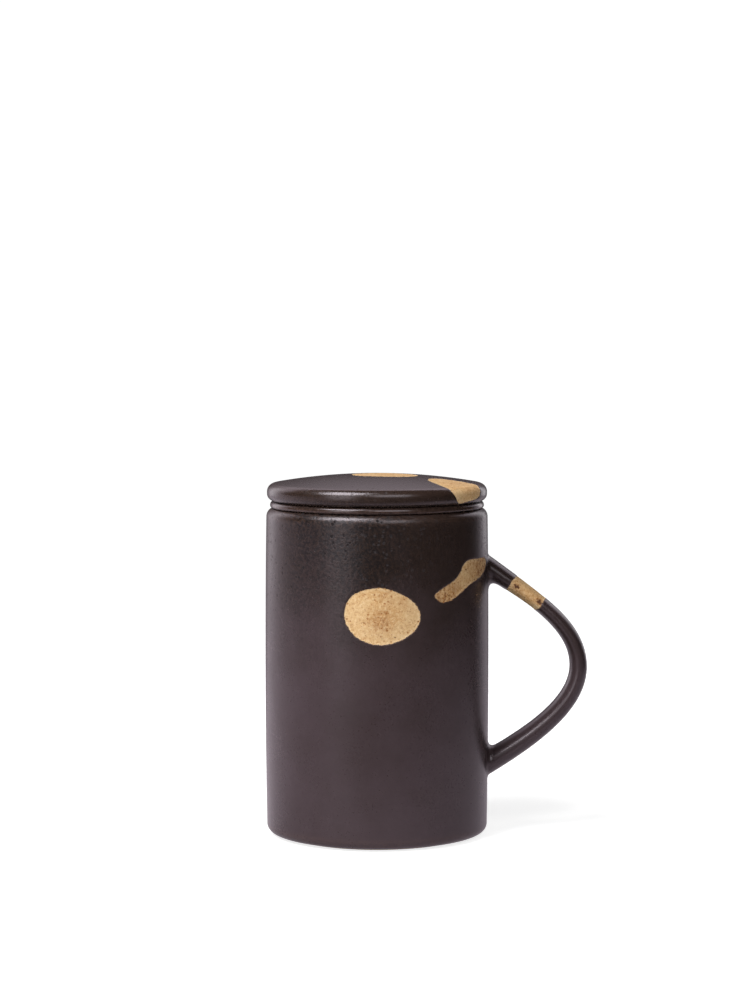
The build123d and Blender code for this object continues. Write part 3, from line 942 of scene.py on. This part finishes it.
studio = {
    "left": -4.5, "right": 3.2, "front": -3.0, "back": 2.2, "bend": 0.7, "wallHeight": 3.2, "nearRows": 0.5,
    "albedoNear": 0.6, "albedoFar": 0.15, "albedoFade": (0.25, 1.0),  # distances from the object
    "glowNear": 0.8, "glowFade": (0.2, 0.6), "world": 0.0,  # light from all round
    # white that gloss sees in the sheet: on the floor by its turn from straight behind towards +X, near the
    # object by distance, and high up by height
    "mirroredTurns": [
        (-170, 0.04), (-125, 0.4), (-88, 0.85), (-55, 1.0), (-34, 1.0), (-16, 0.06), (16, 0.06), (30, 0.64),
        (46, 0.55), (56, 0.04),
    ],
    "mirroredNear": 0.62, "nearFade": (0.25, 0.55), "frontFade": (-0.28, -0.08),
    "mirroredHigh": 1.6, "highFade": (0.1, 2.8), "mirroredTint": (1, 0.88, 0.98, 1),
    "aimHeight": 0.065,
}
lamps = {
    # degrees round the object from -Y towards +X and up, metres away, width and height, and watts
    "key": (-48, 55, 1.25, 0.7, 0.7, 21.0),
    "fill": (-38, 15, 1.5, 0.7, 0.9, 5.0),
    "front": (16, 34, 1.6, 1.0, 0.8, 8.5),
    "leftRim": (-138, 10, 1.3, 0.45, 1.0, 1.2),
    "rightRim": (148, 10, 1.3, 0.3, 1.0, 1.0),
}


def studioSheet():
    # Floor, bend and back wall in one sheet: the profile (y, z) is two straights joined by a quarter circle
    bend, back = studio["bend"], studio["back"]
    angle = np.linspace(0, np.pi / 2, 17)
    profile = np.concatenate([
        [[studio["front"], 0], [-studio["nearRows"], 0], [studio["nearRows"], 0]],
        np.stack([back - bend + bend * np.sin(angle), bend - bend * np.cos(angle)], axis=-1),
        [[back, studio["wallHeight"]]],
    ])
    across = np.linspace(studio["left"], studio["right"], 9)
    grid = np.empty((len(profile), len(across), 3))
    grid[..., 0], grid[..., 1:] = across, profile[:, None]
    quads = gridQuads(gridIndex(grid))[:, :-1]
    mesh = bpy.data.meshes.new("studio_sheet")
    mesh.from_pydata(grid.reshape(-1, 3).tolist(), [], quads.reshape(-1, 4).tolist())
    mesh.shade_smooth()
    return addObject("studio_sheet", mesh)


def sheetMaterial():
    # White to the camera, less where the object's shadow falls; to glossy rays white near the object, at its
    # sides and high up, and darker in front and straight behind; plain matt white to light; clear from below
    material = bpy.data.materials.new("studioWhite")
    tree = emptyTree(material)
    path = newNode(tree, "LightPath").outputs
    where = newNode(tree, "TexCoord").outputs["Object"]
    away = newNode(tree, "VectorMath", {"operation": "LENGTH"}, Vector=where).outputs["Value"]
    albedo = ramp(away, *studio["albedoFade"], studio["albedoNear"], studio["albedoFar"])
    glow = ramp(away, *studio["glowFade"], studio["glowNear"], 1.0)
    grey = newNode(tree, "CombineColor", Red=albedo, Green=albedo, Blue=albedo).outputs["Color"]
    matt = newNode(tree, "BsdfDiffuse", Color=grey).outputs["BSDF"]
    glow = newNode(tree, "Emission", Color=(1, 1, 1, 1), Strength=glow).outputs["Emission"]
    lit = inOrder("AddShader", matt, glow)
    place = newNode(tree, "SeparateXYZ", Vector=where).outputs
    turn = maths("ARCTAN2", place["X"], place["Y"])
    turns = newNode(tree, "ValToRGB", Fac=timesPlus(turn, 0.5 / np.pi, 0.5))
    stops = turns.color_ramp.elements
    for number, (degrees, white) in enumerate(studio["mirroredTurns"]):
        stop = stops[number] if number < 2 else stops.new(1)
        stop.position, stop.color = degrees / 360 + 0.5, (white, white, white, 1)
    near = ramp(away, *studio["nearFade"], studio["mirroredNear"], 0.0)
    near = times(near, ramp(place["Y"], *studio["frontFade"]))
    high = ramp(place["Z"], *studio["highFade"], 0.0, studio["mirroredHigh"])
    white = maths("MAXIMUM", maths("MAXIMUM", near, high), turns.outputs["Color"])
    tint = studio["mirroredTint"]
    mirrored = newNode(tree, "Emission", Color=tint, Strength=white).outputs["Emission"]
    glossy = maths("MAXIMUM", path["Is Glossy Ray"], path["Is Transmission Ray"])
    below = newNode(tree, "NewGeometry").outputs["Backfacing"]
    clear = newNode(tree, "BsdfTransparent").outputs["BSDF"]
    surface = matt
    for share, other in ((path["Is Camera Ray"], lit), (glossy, mirrored), (below, clear)):
        surface = inOrder("MixShader", share, surface, other)
    newNode(tree, "OutputMaterial", Surface=surface)
    return material


def addLamp(name, turn, rise, distance, width, height, power):
    # A soft box that looks at the middle of the object from its turn, rise and distance
    turn, rise = np.radians(turn), np.radians(rise)
    away = np.array([np.sin(turn) * np.cos(rise), -np.cos(turn) * np.cos(rise), np.sin(rise)])
    data = bpy.data.lights.new(name, "AREA")
    data.shape = "RECTANGLE"
    data.size, data.size_y, data.energy = width, height, power
    lamp = addObject(name, data)
    lamp.location = away * distance + [0, 0, studio["aimHeight"]]
    lamp.rotation_euler = (np.pi / 2 - rise, 0, turn)


def worldLight():
    # White to the camera, and studio["world"] to everything else
    world = bpy.data.worlds.new("studioWorld")
    bpy.context.scene.world = world
    tree = emptyTree(world)
    seen = newNode(tree, "LightPath").outputs["Is Camera Ray"]
    strength = blend(seen, studio["world"], 1.0, "FLOAT")
    light = newNode(tree, "Background", Color=(1, 1, 1, 1), Strength=strength)
    newNode(tree, "OutputWorld", Surface=light.outputs["Background"])


sheet = studioSheet()
sheet.data.materials.append(sheetMaterial())
for lampName, values in lamps.items():
    addLamp(lampName, *values)
worldLight()
bpy.context.scene.view_settings.view_transform = "Standard"
print("studio set")
